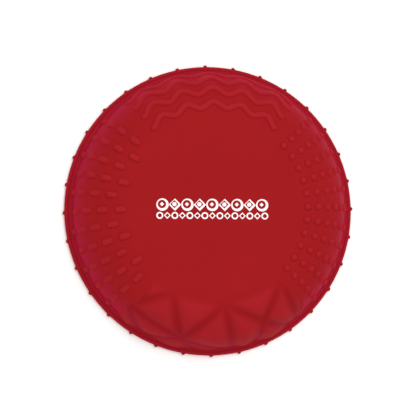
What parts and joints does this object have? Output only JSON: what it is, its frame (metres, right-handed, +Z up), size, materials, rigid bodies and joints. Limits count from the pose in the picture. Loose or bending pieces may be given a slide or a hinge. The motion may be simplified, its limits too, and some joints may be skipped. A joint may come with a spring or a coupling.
{
  "type": "silicone flying disc",
  "caption": "Soft round flying disc with a flat centre, turned-down shoulder in four relief patterns and a nubbed outward lip.",
  "frame": {"origin": "on the disc's axis, in the plane of the lip's underside", "axes": "+Z up along the disc's axis, through the closed top; +Y to the quarter with the wavy ribs, +X to the quarter with the round nubs"},
  "size_m": [0.1536, 0.1536, 0.0313],
  "materials": {
    "red_silicone": "satin, moulded",
    "white_ink": "matt, printed"
  },
  "bodies": {
    "root": {"flight_plate": "red_silicone", "upper_shoulder": "red_silicone", "side_wall": "red_silicone", "rim_lip": "red_silicone", "rim_nubs": "red_silicone", "dot_nubs": "red_silicone", "oblong_nubs": "red_silicone", "wave_ribs": "red_silicone", "star_folds": "red_silicone", "print_row_upper": "white_ink", "print_row_lower": "white_ink"}
  },
  "joints": []
}
